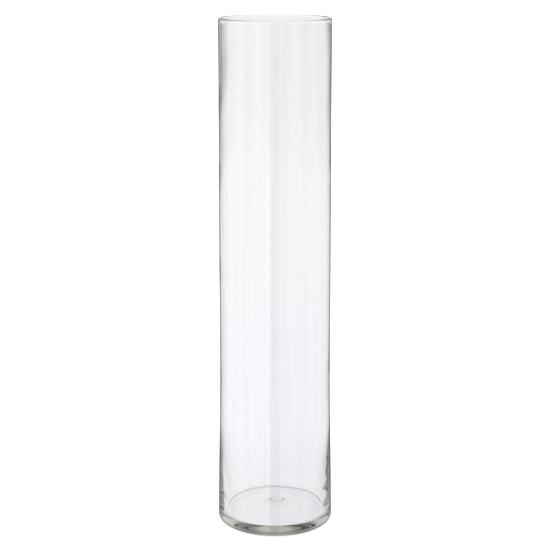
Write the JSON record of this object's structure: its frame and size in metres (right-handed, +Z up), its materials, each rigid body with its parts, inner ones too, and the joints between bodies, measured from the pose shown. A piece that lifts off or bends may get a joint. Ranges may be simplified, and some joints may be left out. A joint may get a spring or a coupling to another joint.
{
  "type": "glass cylinder vase",
  "caption": "Tall clear glass cylinder vase, open at the top, with a thick flat base, a softly rounded heel and a fire-polished lip.",
  "frame": {"origin": "centre of the foot, on the surface that the vase stands on", "axes": "+Z up along the vase's axis, out of its mouth; the vase is round, so X and Y are any two directions square to it"},
  "size_m": [0.1036, 0.1036, 0.4572],
  "materials": {
    "clear_glass": "clear, fire-polished, with a faint grey-green tint where the glass is thick"
  },
  "bodies": {
    "root": {"base": "clear_glass", "wall": "clear_glass", "lip": "clear_glass"}
  },
  "joints": []
}
